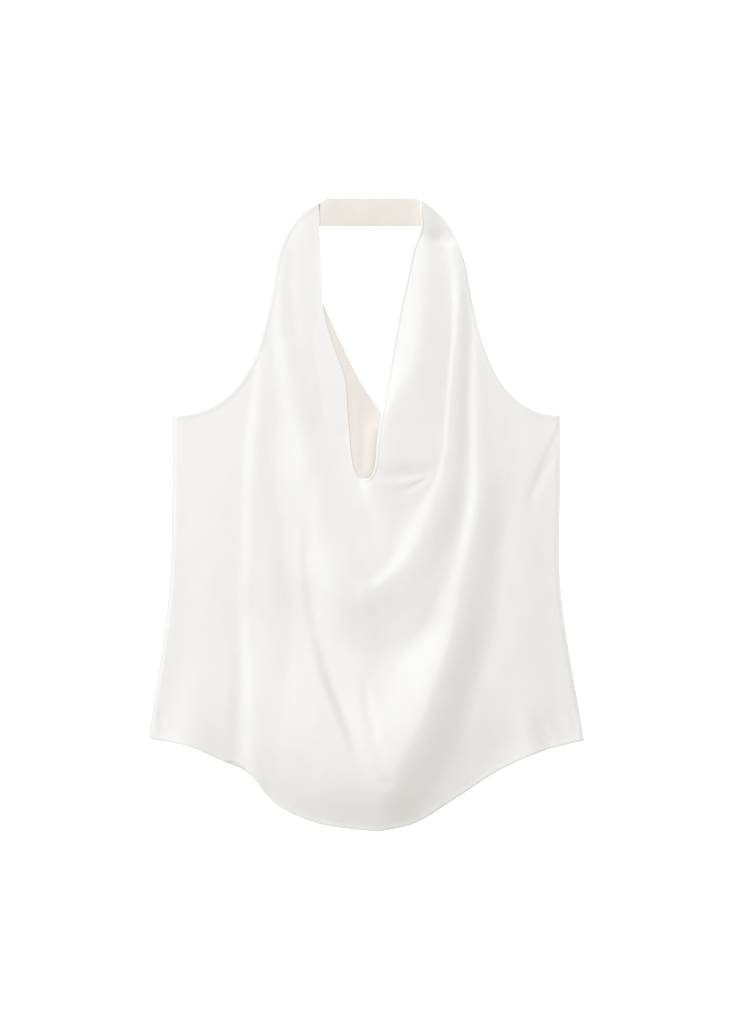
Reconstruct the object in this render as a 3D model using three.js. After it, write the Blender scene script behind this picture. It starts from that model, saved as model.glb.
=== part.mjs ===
// Halter top with a draped cowl front, lying flat with its front up.
// Units are millimetres. +Z is up, +Y points to the neck and +X to the right of the top as it lies.
// The top rests on z = 0. The back panel and the neck band lie on that surface and the front lies on them.
import * as THREE from 'three';

// cloth
const wall = 1.2;
const seamGap = 0.3;
const frontFloor = wall + seamGap;

// main sizes
const halfChest = 481;
const underarmY = 123;
const strapEndY = 390;
const leftStrapEndY = 386;
const strapTipLength = 16;
const bandWidth = 33;
const bandBottomY = strapEndY - bandWidth;
const leftStrapX = -58;
const rightStrapX = 66;
const neckBottom = { x: -1, y: 44 };
const hemBottom = { x: 15, y: -393 };
const leftHemCorner = { x: -271, y: -278 };
const rightHemCorner = { x: 270, y: -280 };

// how the front is divided
const rowCount = 44;
const columnCount = 22;
const underarmRow = 0.46;
const neckRow = 20 / rowCount;

// how far the back stays inside the front, how wide the band's slanted ends are, and how far the band
// stands above the straps' ends
const backInset = 1.6;
const bandOverlap = 20;
const bandRise = 2.4;
const outlineSteps = 18;

// edges of the front that are not straight, as places on the cloth
const leftNeckline = [
  { x: leftStrapX, y: strapEndY - strapTipLength },
  { x: leftStrapX, y: bandBottomY },
  { x: -55, y: 300 },
  { x: -53, y: 252 },
  { x: -40, y: 203 },
  { x: -28, y: 168 },
  { x: -25, y: 120 },
  { x: -19, y: 68 },
  { x: -12, y: 48.5 },
  { x: -6, y: 44.6 },
  neckBottom,
];
const rightNeckline = [
  { x: rightStrapX + 0.4, y: strapEndY - strapTipLength },
  { x: rightStrapX + 2, y: bandBottomY },
  { x: 58, y: 328 },
  { x: 52.5, y: 303 },
  { x: 40, y: 247 },
  { x: 30, y: 188 },
  { x: 23, y: 146 },
  { x: 14, y: 96 },
  { x: 11, y: 62 },
  { x: 7, y: 48.5 },
  { x: 3, y: 44.6 },
  neckBottom,
];
const leftHem = [
  leftHemCorner,
  { x: -219, y: -288 },
  { x: -198, y: -297 },
  { x: -178, y: -305.5 },
  { x: -165, y: -307 },
  { x: -151, y: -314.5 },
  { x: -138, y: -328 },
  { x: -129, y: -341.5 },
  { x: -118, y: -354.5 },
  { x: -105, y: -364.5 },
  { x: -87, y: -373.5 },
  { x: -60, y: -383.5 },
  { x: -20, y: -390 },
  hemBottom,
];
const rightHem = [
  rightHemCorner,
  { x: 214, y: -295 },
  { x: 160, y: -322 },
  { x: 113, y: -352 },
  { x: 59, y: -384 },
  hemBottom,
];

// Armholes and side seams, each as two Bezier arcs that follow each other.
const leftArmhole = [
  { from: [leftStrapX, leftStrapEndY], pull: [-89, 376], end: [-109, 342], to: [-114, 300] },
  { from: [-114, 300], pull: [-125, 236], end: [-137, 124], to: [-halfChest / 2, underarmY] },
];
const rightArmhole = [
  { from: [rightStrapX, strapEndY], pull: [96, 376], end: [117, 342], to: [125, 300] },
  { from: [125, 300], pull: [136, 236], end: [152, 124], to: [halfChest / 2, underarmY] },
];
const leftSide = [
  { from: [-halfChest / 2, underarmY], pull: [-241, 40], end: [-242, -10], to: [-243.5, -50] },
  { from: [-243.5, -50], pull: [-246.5, -120], end: [-258, -180], to: [leftHemCorner.x, leftHemCorner.y] },
];
const rightSide = [
  { from: [halfChest / 2, underarmY], pull: [241.5, 40], end: [238, -20], to: [238.5, -60] },
  { from: [238.5, -60], pull: [240, -130], end: [254, -190], to: [rightHemCorner.x, rightHemCorner.y] },
];

// Folds. Each row is one place along a fold: how high the cloth lifts there and how far its slope
// reaches on the side of the neck opening (near) and on the side away from it (far).
const cowlPool = [
  { x: -90, y: 140, lift: 1, near: 36, far: 34 },
  { x: -68, y: 35, lift: 3.6, near: 84, far: 44 },
  { x: -28, y: -52, lift: 5.2, near: 126, far: 66 },
  { x: 16, y: -84, lift: 6, near: 128, far: 88 },
  { x: 42, y: -66, lift: 5.8, near: 124, far: 68 },
  { x: 66, y: -28, lift: 6, near: 120, far: 47 },
  { x: 82, y: 10, lift: 6.4, near: 124, far: 38 },
  { x: 93, y: 48, lift: 6.6, near: 130, far: 33 },
  { x: 103, y: 130, lift: 6.4, near: 110, far: 25 },
  { x: 107, y: 180, lift: 5, near: 100, far: 22 },
  { x: 112, y: 228, lift: 3.4, near: 80, far: 18 },
  { x: 114, y: 270, lift: 1.6, near: 60, far: 16 },
];
const upperSwag = [
  { x: -106, y: 285, lift: 1, near: 14, far: 14 },
  { x: -98, y: 180, lift: 1.8, near: 24, far: 18 },
  { x: -78, y: 80, lift: 1.8, near: 26, far: 24 },
  { x: -53, y: 0, lift: 1.6, near: 26, far: 28 },
  { x: -18, y: -60, lift: 1, near: 18, far: 36 },
  { x: 6, y: -91, lift: 1.9, near: 14, far: 48 },
  { x: 33, y: -78, lift: 3, near: 18, far: 42 },
  { x: 67, y: -32, lift: 2.8, near: 22, far: 33 },
  { x: 81, y: 4, lift: 2.2, near: 20, far: 28 },
  { x: 93, y: 38, lift: 1.4, near: 14, far: 24 },
  { x: 104, y: 128, lift: 1.2, near: 14, far: 16 },
  { x: 113, y: 228, lift: 1.2, near: 14, far: 14 },
  { x: 116, y: 278, lift: 1.7, near: 14, far: 14 },
  { x: 104, y: 342, lift: 0.4, near: 12, far: 12 },
];
const mainRidge = [
  { x: 136, y: 185, lift: 0.5, near: 12, far: 14 },
  { x: 137, y: 130, lift: 0.8, near: 12, far: 18 },
  { x: 138, y: 42, lift: 1.3, near: 14, far: 26 },
  { x: 129, y: -32, lift: 3.2, near: 16, far: 38 },
  { x: 113, y: -107, lift: 5, near: 25, far: 50 },
  { x: 94, y: -181, lift: 8.8, near: 48, far: 52 },
  { x: 81, y: -218, lift: 9.8, near: 58, far: 55 },
  { x: 68, y: -255, lift: 9, near: 54, far: 58 },
  { x: 52, y: -287, lift: 7, near: 44, far: 58 },
  { x: 38, y: -314, lift: 4.8, near: 40, far: 56 },
  { x: 20, y: -366, lift: 1.8, near: 30, far: 46 },
  { x: 15, y: -394, lift: 0.8, near: 24, far: 40 },
];
const mainLoft = [
  { x: 134, y: 230, lift: 0.4, near: 24, far: 20 },
  { x: 137, y: 130, lift: 3, near: 34, far: 52 },
  { x: 138, y: 42, lift: 4, near: 44, far: 50 },
  { x: 129, y: -32, lift: 4.4, near: 86, far: 42 },
  { x: 113, y: -107, lift: 5, near: 84, far: 51 },
  { x: 94, y: -181, lift: 2.6, near: 62, far: 56 },
  { x: 68, y: -255, lift: 2, near: 70, far: 60 },
  { x: 38, y: -314, lift: 1.8, near: 66, far: 58 },
  { x: 15, y: -394, lift: 0.6, near: 40, far: 40 },
];
const lowerSwag = [
  { x: -57, y: -28, lift: 1.2, near: 24, far: 14 },
  { x: -51, y: -68, lift: 3.4, near: 46, far: 20 },
  { x: -34, y: -131, lift: 6.2, near: 62, far: 36 },
  { x: -18, y: -168, lift: 5.6, near: 58, far: 46 },
  { x: -6, y: -199, lift: 2.9, near: 36, far: 44 },
  { x: 0, y: -240, lift: 1.8, near: 60, far: 40 },
  { x: 12, y: -300, lift: 0.9, near: 50, far: 34 },
];
const thirdCrease = [
  { x: -74, y: -64, lift: 1.1, near: 18, far: 12 },
  { x: -65, y: -131, lift: 2.2, near: 40, far: 14 },
  { x: -43.5, y: -206, lift: 3.8, near: 54, far: 15 },
  { x: -29, y: -243, lift: 3.9, near: 48, far: 14 },
  { x: -10, y: -304, lift: 0.6, near: 18, far: 12 },
];
const belly = [
  { x: -150, y: -246, lift: 1, near: 90, far: 46 },
  { x: -112, y: -268, lift: 4, near: 140, far: 58 },
  { x: -72, y: -292, lift: 8.6, near: 180, far: 68 },
  { x: -30, y: -311, lift: 13, near: 200, far: 72 },
  { x: 2, y: -320, lift: 14.4, near: 200, far: 70 },
  { x: 30, y: -325, lift: 11.4, near: 150, far: 66 },
  { x: 56, y: -320, lift: 4.2, near: 70, far: 56 },
  { x: 78, y: -312, lift: 0.8, near: 40, far: 46 },
];
const leftDrape = [
  { x: -131, y: 165, lift: 1.4, near: 22, far: 12 },
  { x: -139, y: 80, lift: 2.2, near: 32, far: 14 },
  { x: -142, y: -20, lift: 2, near: 40, far: 14 },
  { x: -145, y: -110, lift: 1.8, near: 60, far: 14 },
  { x: -140, y: -206, lift: 1.7, near: 46, far: 14 },
  { x: -137, y: -250, lift: 1.5, near: 34, far: 14 },
  { x: -134, y: -300, lift: 1, near: 26, far: 14 },
];
const sideDrape = [
  { x: -200, y: -20, lift: 0.5, near: 26, far: 26 },
  { x: -200, y: -180, lift: 1, near: 34, far: 28 },
  { x: -212, y: -235, lift: 2.4, near: 46, far: 32 },
  { x: -221, y: -290, lift: 4.6, near: 54, far: 34 },
];
const rightDrape = [
  { x: 194, y: -20, lift: 0.5, near: 26, far: 28 },
  { x: 200, y: -150, lift: 0.5, near: 28, far: 30 },
  { x: 211, y: -245, lift: 1.7, near: 30, far: 24 },
  { x: 211, y: -290, lift: 2.6, near: 30, far: 24 },
];
const strapRoll = [
  { x: 72, y: 315, lift: 2.4, near: 24, far: 26 },
  { x: 68, y: 278, lift: 4.8, near: 30, far: 35 },
  { x: 56, y: 180, lift: 5.2, near: 34, far: 52 },
  { x: 34, y: 142, lift: 5.2, near: 24, far: 70 },
  { x: 20, y: 116, lift: 5.2, near: 12, far: 80 },
  { x: 12, y: 68, lift: 4.8, near: 12, far: 88 },
  { x: 8, y: 43, lift: 1.7, near: 12, far: 86 },
];
const strapTop = [
  { x: 62, y: 404, lift: 5.6, near: 14, far: 27 },
  { x: 69, y: 366, lift: 4.8, near: 14, far: 30 },
  { x: 76, y: 338, lift: 0.3, near: 14, far: 24 },
];
const neckSink = [
  { x: -36, y: 170, lift: 1.7, near: 24, far: 34 },
  { x: -31, y: 95, lift: 1.5, near: 20, far: 34 },
  { x: -15, y: 42, lift: 1.6, near: 20, far: 30 },
];
const rightHemRise = [
  { x: 46, y: -398, lift: 0.3, near: 26, far: 20 },
  { x: 84, y: -384, lift: 1.4, near: 34, far: 20 },
  { x: 122, y: -360, lift: 2.6, near: 44, far: 20 },
  { x: 162, y: -334, lift: 2.8, near: 46, far: 20 },
  { x: 200, y: -312, lift: 1.8, near: 38, far: 20 },
];

// The folds as used: whether the near side is on the left of the way a fold runs, and which of them
// are hollows.
const folds = [
  { rows: cowlPool, nearIsLeft: true },
  { rows: upperSwag, nearIsLeft: true },
  { rows: mainRidge, nearIsLeft: false },
  { rows: mainLoft, nearIsLeft: false },
  { rows: lowerSwag, nearIsLeft: true },
  { rows: thirdCrease, nearIsLeft: true, hollow: true },
  { rows: belly, nearIsLeft: true },
  { rows: leftDrape, nearIsLeft: true },
  { rows: sideDrape, nearIsLeft: true },
  { rows: rightDrape, nearIsLeft: false },
  { rows: strapRoll, nearIsLeft: false },
  { rows: strapTop, nearIsLeft: false },
  { rows: neckSink, nearIsLeft: true, hollow: true },
  { rows: rightHemRise, nearIsLeft: true },
];
const foldSteps = 40;

// A smooth curve through a short list of places.
function curveThrough(places) {
  const points = places.map((place) => new THREE.Vector3(place.x, place.y, 0));
  return new THREE.CatmullRomCurve3(points, false, 'centripetal');
}

// One curve made of the Bezier arcs of an edge.
function curveOfArcs(arcs) {
  const path = new THREE.CurvePath();
  for (const arc of arcs) {
    path.add(new THREE.CubicBezierCurve3(
      new THREE.Vector3(arc.from[0], arc.from[1], 0),
      new THREE.Vector3(arc.pull[0], arc.pull[1], 0),
      new THREE.Vector3(arc.end[0], arc.end[1], 0),
      new THREE.Vector3(arc.to[0], arc.to[1], 0),
    ));
  }
  return path;
}

// A point at share t along two curves that follow each other and meet at share joint.
function pointOnPair(first, second, joint, t) {
  if (t <= joint) {
    return first.getPointAt(t / joint);
  }
  return second.getPointAt((t - joint) / (1 - joint));
}

// A fold as closely spaced stations, each with its place, lift and slopes.
function foldStations(fold) {
  const curve = curveThrough(fold);
  const stations = [];
  const last = fold.length - 1;
  for (let step = 0; step <= foldSteps; step += 1) {
    const t = step / foldSteps;
    const at = Math.min(Math.floor(t * last), last - 1);
    const share = t * last - at;
    const place = curve.getPoint(t);
    stations.push({
      place,
      lift: THREE.MathUtils.lerp(fold[at].lift, fold[at + 1].lift, share),
      near: THREE.MathUtils.lerp(fold[at].near, fold[at + 1].near, share),
      far: THREE.MathUtils.lerp(fold[at].far, fold[at + 1].far, share),
    });
  }
  return stations;
}

// Height that one fold gives the cloth at a place.
function foldHeight(stations, nearIsLeft, x, y) {
  let height = 0;
  for (let i = 0; i + 1 < stations.length; i += 1) {
    const a = stations[i];
    const b = stations[i + 1];
    const dx = b.place.x - a.place.x;
    const dy = b.place.y - a.place.y;
    const along = ((x - a.place.x) * dx + (y - a.place.y) * dy) / (dx * dx + dy * dy);
    const t = THREE.MathUtils.clamp(along, 0, 1);
    const offX = x - a.place.x - t * dx;
    const offY = y - a.place.y - t * dy;
    const onLeft = dx * offY - dy * offX > 0;
    const reach = onLeft === nearIsLeft
      ? THREE.MathUtils.lerp(a.near, b.near, t)
      : THREE.MathUtils.lerp(a.far, b.far, t);
    const share = THREE.MathUtils.smoothstep(1 - Math.hypot(offX, offY) / reach, 0, 1);
    height = Math.max(height, THREE.MathUtils.lerp(a.lift, b.lift, t) * share);
  }
  return height;
}

const foldGuides = folds.map(({ rows, nearIsLeft, hollow }) => ({
  stations: foldStations(rows),
  nearIsLeft,
  sign: hollow ? -1 : 1,
}));

// The front's lower face. It never comes nearer to the back than the seam gap.
function clothHeight(x, y) {
  let height = frontFloor;
  for (const guide of foldGuides) {
    height += guide.sign * foldHeight(guide.stations, guide.nearIsLeft, x, y);
  }
  return Math.max(height, frontFloor);
}

// Points of one half of the front, in rows from the strap's end to the hem and in columns from the
// armhole to the neckline or the middle of the front.
function halfFront(edges) {
  const armhole = curveOfArcs(edges.armhole);
  const side = curveOfArcs(edges.side);
  const neckline = curveThrough(edges.neckline);
  const middle = new THREE.LineCurve3(
    new THREE.Vector3(neckBottom.x, neckBottom.y, 0),
    new THREE.Vector3(hemBottom.x, hemBottom.y, 0),
  );
  const hem = curveThrough(edges.hem);
  const rows = [];
  for (let row = 0; row <= rowCount; row += 1) {
    const v = row / rowCount;
    const outer = pointOnPair(armhole, side, underarmRow, v);
    const inner = pointOnPair(neckline, middle, neckRow, v);
    const points = [];
    for (let column = 0; column <= columnCount; column += 1) {
      const u = column / columnCount;
      const hemBow = hem.getPointAt(u).sub(hem.getPointAt(0).lerp(hem.getPointAt(1), u));
      const point = outer.clone().lerp(inner, u).addScaledVector(hemBow, v);
      point.z = clothHeight(point.x, point.y);
      points.push(point);
    }
    rows.push(points);
  }
  return rows;
}

// A closed wall of cloth over a net of points: the net is its lower face, and the upper face is moved
// out by the wall along the net's normals.
function clothWall(points, quads) {
  const normals = points.map(() => new THREE.Vector3());
  for (const [a, b, c, d] of quads) {
    const across = points[c].clone().sub(points[a]);
    const other = points[d].clone().sub(points[b]);
    const normal = across.cross(other);
    for (const corner of [a, b, c, d]) {
      normals[corner].add(normal);
    }
  }
  const lower = points;
  const upper = points.map((point, i) => point.clone().addScaledVector(normals[i].normalize(), wall));
  const count = points.length;
  const triangles = [];
  const edges = new Map();
  for (const [a, b, c, d] of quads) {
    triangles.push(a + count, b + count, c + count, a + count, c + count, d + count);
    triangles.push(a, c, b, a, d, c);
    for (const [from, to] of [[a, b], [b, c], [c, d], [d, a]]) {
      if (edges.has(`${to} ${from}`)) {
        edges.delete(`${to} ${from}`);
      } else {
        edges.set(`${from} ${to}`, [from, to]);
      }
    }
  }
  for (const [from, to] of edges.values()) {
    triangles.push(from, to, to + count, from, to + count, from + count);
  }
  const geometry = new THREE.BufferGeometry().setFromPoints([...lower, ...upper]);
  geometry.setIndex(triangles);
  geometry.computeVertexNormals();
  return geometry;
}

// The front: two halves that share their middle column below the neck opening.
function frontGeometry() {
  const left = halfFront({ armhole: leftArmhole, side: leftSide, neckline: leftNeckline, hem: leftHem });
  const right = halfFront({ armhole: rightArmhole, side: rightSide, neckline: rightNeckline, hem: rightHem });
  const points = [];
  const leftIndex = left.map((row) => row.map((point) => points.push(point) - 1));
  const splitRow = Math.round(neckRow * rowCount);
  const rightIndex = right.map((row, r) => row.map((point, c) => {
    if (c === columnCount && r >= splitRow) {
      return leftIndex[r][c];
    }
    return points.push(point) - 1;
  }));
  const quads = [];
  for (let row = 0; row < rowCount; row += 1) {
    for (let column = 0; column < columnCount; column += 1) {
      quads.push([
        leftIndex[row + 1][column],
        leftIndex[row + 1][column + 1],
        leftIndex[row][column + 1],
        leftIndex[row][column],
      ]);
      quads.push([
        rightIndex[row][column],
        rightIndex[row][column + 1],
        rightIndex[row + 1][column + 1],
        rightIndex[row + 1][column],
      ]);
    }
  }
  return clothWall(points, quads);
}

// Points of an edge, moved in from the front's edge so that the front covers the back.
function insetPoints(curve, inset, side) {
  const points = [];
  for (let step = 0; step <= outlineSteps; step += 1) {
    const t = step / outlineSteps;
    const point = curve.getPointAt(t);
    const along = curve.getTangentAt(t);
    points.push(new THREE.Vector2(point.x - side * along.y * inset, point.y + side * along.x * inset));
  }
  return points;
}

// The back: one flat panel that rises behind both straps, with a V between them.
const backV = [
  { x: -75, y: bandBottomY - seamGap },
  { x: -70, y: 318 },
  { x: -58, y: 274 },
  { x: -45, y: 243 },
  { x: -26, y: 202 },
  { x: -6, y: 163 },
  { x: 20, y: 125 },
  { x: 38, y: 104 },
];
const backVRight = [
  { x: 38, y: 104 },
  { x: 52, y: 130 },
  { x: 62, y: 190 },
  { x: 74, y: 270 },
  { x: 84, y: bandBottomY - seamGap },
];
const backHem = [
  { x: -268.8, y: -276.8 },
  { x: -219, y: -286.5 },
  { x: -198, y: -295 },
  { x: -175, y: -307.5 },
  { x: -155, y: -316 },
  { x: -144, y: -323.5 },
  { x: -135, y: -333.5 },
  { x: -127.5, y: -344 },
  { x: -119, y: -352.5 },
  { x: -103, y: -362.5 },
  { x: -80, y: -372 },
  { x: -20, y: -387 },
  { x: 15, y: -390.5 },
];

function flatPoints(places) {
  const points = curveThrough(places).getSpacedPoints(outlineSteps);
  return points.map((point) => new THREE.Vector2(point.x, point.y));
}

function backGeometry() {
  const leftArm = insetPoints(curveOfArcs(leftArmhole), backInset, 1);
  const leftSeam = insetPoints(curveOfArcs(leftSide), backInset, 1);
  const rightArm = insetPoints(curveOfArcs(rightArmhole), backInset, -1);
  const rightSeam = insetPoints(curveOfArcs(rightSide), backInset, -1);
  const rightEdge = insetPoints(curveThrough(rightHem), backInset, -1);
  const belowBand = (point) => point.y < bandBottomY - seamGap;
  const outline = [
    ...leftArm.filter(belowBand),
    ...leftSeam.slice(1, -1),
    ...flatPoints(backHem),
    ...rightEdge.slice(1, -1).reverse(),
    new THREE.Vector2(rightHemCorner.x - backInset, rightHemCorner.y + backInset),
    ...rightSeam.slice(1, -1).reverse(),
    ...rightArm.filter(belowBand).reverse(),
    ...flatPoints(backVRight).reverse(),
    ...flatPoints(backV).slice(0, -1).reverse(),
  ];
  return new THREE.ExtrudeGeometry(new THREE.Shape(outline), { depth: wall, bevelEnabled: false });
}

// The neck band: a straight band whose slanted ends run under the straps.
function neckBandGeometry() {
  const bottom = bandBottomY;
  const top = strapEndY + bandRise;
  const band = new THREE.Shape();
  band.moveTo(leftStrapX - bandOverlap, bottom);
  band.lineTo(rightStrapX + bandOverlap, bottom);
  band.lineTo(rightStrapX, top - 2);
  band.lineTo(rightStrapX - 10, top);
  band.lineTo(leftStrapX + 12, top);
  band.lineTo(leftStrapX + 5, top - 2.5);
  band.lineTo(leftStrapX, top - 7);
  band.closePath();
  return new THREE.ExtrudeGeometry(band, { depth: wall, bevelEnabled: false });
}

function satin(color) {
  return new THREE.MeshStandardMaterial({ color, roughness: 0.4, metalness: 0 });
}

const halterTop = new THREE.Group();
const pieces = [
  { name: 'front', geometry: frontGeometry(), color: '#f4f2ef' },
  { name: 'back', geometry: backGeometry(), color: '#ede8e0' },
  { name: 'neck_band', geometry: neckBandGeometry(), color: '#ede8e0' },
];
for (const piece of pieces) {
  const mesh = new THREE.Mesh(piece.geometry, satin(piece.color));
  mesh.name = piece.name;
  halterTop.add(mesh);
}

// The origin is the middle of the space that the top covers on the surface.
const middle = new THREE.Box3().setFromObject(halterTop).getCenter(new THREE.Vector3());
halterTop.position.set(-middle.x, -middle.y, 0);

export default halterTop;
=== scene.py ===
import math

import bmesh
import bpy
import numpy as np
from mathutils import Matrix, Vector, noise
from mathutils.geometry import interpolate_bezier


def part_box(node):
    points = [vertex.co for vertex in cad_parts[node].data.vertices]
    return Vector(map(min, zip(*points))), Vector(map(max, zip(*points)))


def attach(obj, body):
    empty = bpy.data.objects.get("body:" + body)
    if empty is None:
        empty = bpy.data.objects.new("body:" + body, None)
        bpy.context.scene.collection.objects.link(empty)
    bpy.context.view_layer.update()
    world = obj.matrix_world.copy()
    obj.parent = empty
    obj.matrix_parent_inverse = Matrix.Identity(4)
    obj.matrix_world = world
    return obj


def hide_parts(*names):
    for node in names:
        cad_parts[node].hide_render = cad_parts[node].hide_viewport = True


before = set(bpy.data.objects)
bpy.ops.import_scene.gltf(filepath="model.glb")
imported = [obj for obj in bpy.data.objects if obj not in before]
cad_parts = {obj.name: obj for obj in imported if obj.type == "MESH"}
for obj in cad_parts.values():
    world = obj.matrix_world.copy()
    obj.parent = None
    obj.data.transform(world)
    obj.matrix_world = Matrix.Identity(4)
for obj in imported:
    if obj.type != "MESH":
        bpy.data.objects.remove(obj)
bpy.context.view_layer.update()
mm = 0.001
print("frame loaded:", sorted(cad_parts))

# What a user would change about the front. Its outline and its folds have tables of their own below. All
# of them are in millimetres, from the middle of the width under the arms.
front = {
    "name": "draped_front",
    "wall": 0.45,
    "floor": 1.5,            # height of its lower face where it lies on the back
    "rows": 232,
    "columns": 100,          # in each half
    "neckShare": 0.494,      # share of the rows above the bottom of the neckline
    "underarmShare": 0.40,
    "fineRows": 8,           # rows in each fine zone, under the neckline and along the hem
    "fineShare": 0.012,
    "edgeZone": 9.0,         # width of the finely divided zone along the other edges
    "edgeColumns": 9,
    "edgeCrowding": 1.7,     # above 1, the steps get finer towards the edge
    "offCentre": 0.5,        # from the middle of the hem to the middle under the arms
    "halfWidth": 240.5,
    "strapEnd": 390,
    "leftStrap": -58,        # inner edges of the straps where the band is sewn to them
    "rightStrap": 66,
    "bandBottom": 357,
    "unevenness": 0.45,
    "unevenWidth": 46,
    "unevenLength": 110,
    "fineAcross": 2.6,       # how much smaller the finer unevenness is, each way
    "fineAlong": 2.2,
    "fineHeight": 0.3,
    "broadLayer": 3.7,       # where the noise of the unevenness is read
    "fineLayer": 9.1,
    "loft": 1.3,             # rise of the body from the side seams, the hem and the shoulders
    "loftReach": 75,
    "loftHem": -330,
    "loftShoulder": 120,
    "lowest": 0.75,          # lower face of the deepest creases, just clear of the back
    "arcSteps": {"Armhole": 40, "Side": 30},
    "edgeSteps": 12,         # steps between two places of a neckline or a hem
}

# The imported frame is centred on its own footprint, so everything is moved by this much
frontLow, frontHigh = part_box("front")
patternShift = Vector((
    (frontLow.x + frontHigh.x) / 2 + front["offCentre"] * mm,
    frontHigh.y - front["strapEnd"] * mm,
))

# Edges of the front: the necklines as places from the top down, the hems from the side in, and the
# armholes and sides as arcs from the top down
frontOutline = {
    "leftNeckline": [
        (-58, 374), (-58, 357), (-55, 300), (-52.5, 252), (-38.5, 203), (-26.5, 168),
        (-22.5, 120), (-17.5, 68), (-12, 48.5), (-6, 44.6), (-1, 44),
    ],
    "rightNeckline": [
        (66.4, 374), (68, 357), (58, 328), (52.5, 303), (40, 247), (30, 188), (23, 146),
        (14, 96), (11, 62), (7, 48.5), (3, 44.6), (-1, 44),
    ],
    "leftHem": [
        (-271, -278), (-219, -288), (-198, -297), (-178, -305.5), (-165, -307),
        (-151, -314.5), (-138, -328), (-129, -341.5), (-118, -354.5), (-105, -364.5),
        (-87, -373.5), (-60, -383.5), (-20, -390), (15, -393),
    ],
    "rightHem": [(270, -280), (214, -295), (160, -320), (113, -350), (59, -383), (15, -393)],
    "leftArmhole": [
        ((-58, 386), (-89, 376), (-109, 342), (-114, 300)),
        ((-114, 300), (-125, 236), (-137, 124), (-240.5, 123)),
    ],
    "rightArmhole": [
        ((66, 390), (96, 376), (117, 342), (125, 300)),
        ((125, 300), (136, 236), (152, 124), (240.5, 123)),
    ],
    "leftSide": [
        ((-240.5, 123), (-241, 40), (-241.5, -10), (-242.5, -50)),
        ((-242.5, -50), (-244.5, -120), (-256, -180), (-271, -278)),
    ],
    "rightSide": [
        ((240.5, 123), (241.5, 40), (239, -20), (239.5, -60)),
        ((239.5, -60), (241, -130), (256.5, -190), (270, -280)),
    ],
}

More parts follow.
